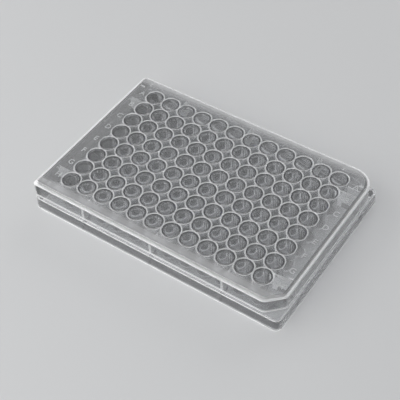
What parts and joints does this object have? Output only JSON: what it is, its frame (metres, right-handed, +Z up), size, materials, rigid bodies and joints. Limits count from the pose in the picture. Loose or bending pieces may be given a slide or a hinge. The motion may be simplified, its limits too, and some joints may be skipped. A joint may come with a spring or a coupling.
{
  "type": "well plate",
  "caption": "Clear well plate: a skirted tray of round flat-bottomed wells joined by webs, under a loose clear lid with a stepped edge, one flat corner and one round corner.",
  "frame": {"origin": "centre of the footprint, on the surface that the skirt's foot stands on", "axes": "+X along the long side, away from the tight-cornered end and towards the end with the flat and the round corner; +Y along the short side, from the flat corner towards the round one; +Z up"},
  "size_m": [0.1278, 0.0854, 0.0162],
  "materials": {
    "clear_plate": "clear polystyrene, gloss, faintly grey",
    "clear_lid": "clear polystyrene, gloss, faintly grey"
  },
  "bodies": {
    "root": {"plate": "clear_plate", "lid": "clear_lid"}
  },
  "joints": []
}
